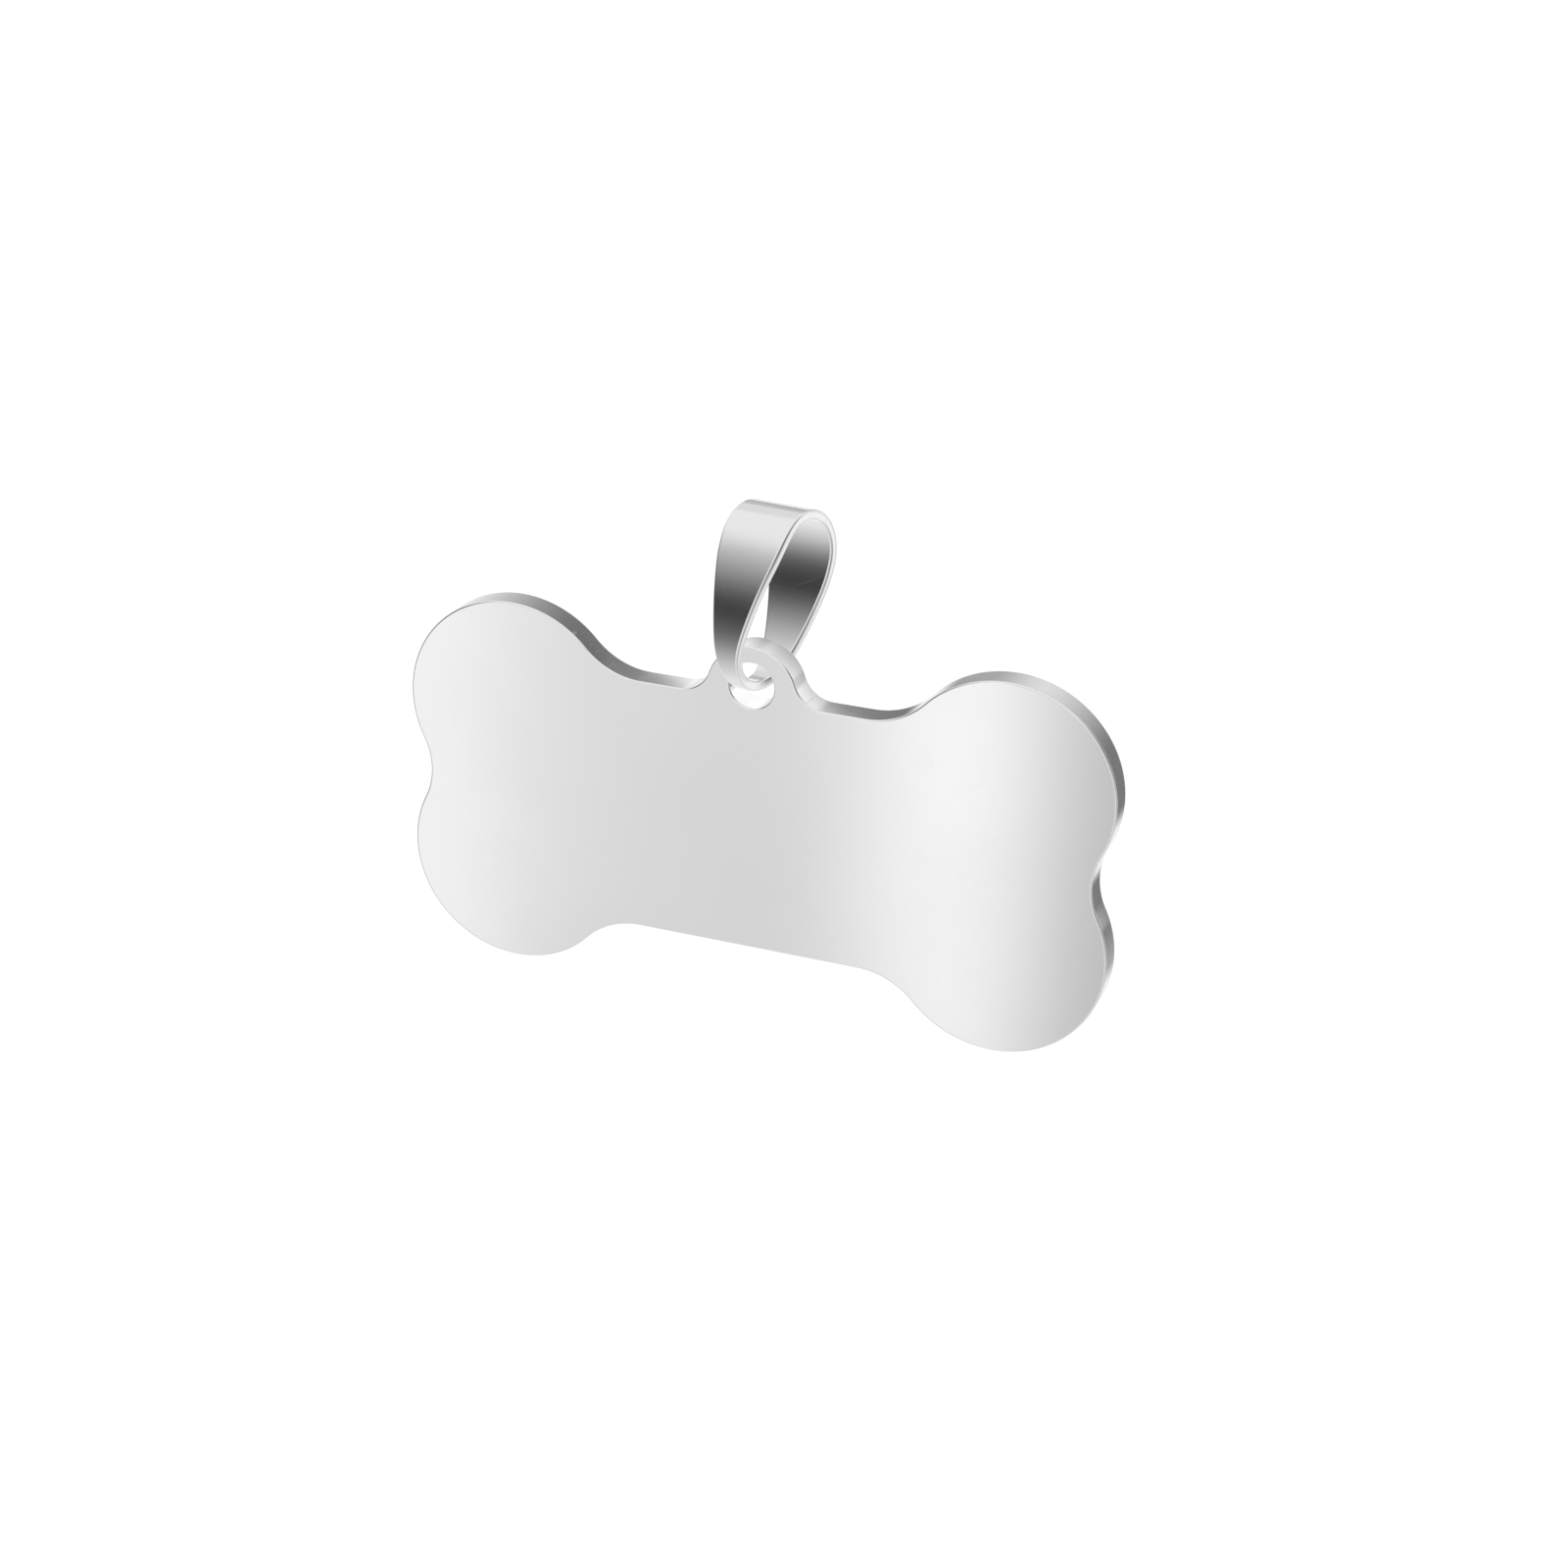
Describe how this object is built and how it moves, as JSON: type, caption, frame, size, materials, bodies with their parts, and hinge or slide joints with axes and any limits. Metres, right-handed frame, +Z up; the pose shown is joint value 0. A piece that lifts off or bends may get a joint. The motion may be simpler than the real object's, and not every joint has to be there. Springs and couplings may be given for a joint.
{
  "type": "pet id tag",
  "caption": "Blank bone-shaped polished steel pet tag with a drilled lug, hanging in a folded strip bail that hooks over a collar ring and lets the tag swing.",
  "frame": {"origin": "centre of the bail's top bend, on the axis where a collar ring hangs", "axes": "+Z up, +X along the tag, +Y from the tag's front face to its back"},
  "size_m": [0.04, 0.008, 0.0276],
  "materials": {
    "polished_steel": "polished"
  },
  "bodies": {
    "bail": {"bail": "polished_steel"},
    "tag": {"tag_plate": "polished_steel"}
  },
  "joints": [
    {"name": "tag_swing", "type": "hinge", "parent": "bail", "child": "tag", "pos_m": [-0.00016, -0.00219, -0.00406], "axis": [0.9715, -0.2307, 0.0539], "range_deg": [-90, 34]}
  ]
}
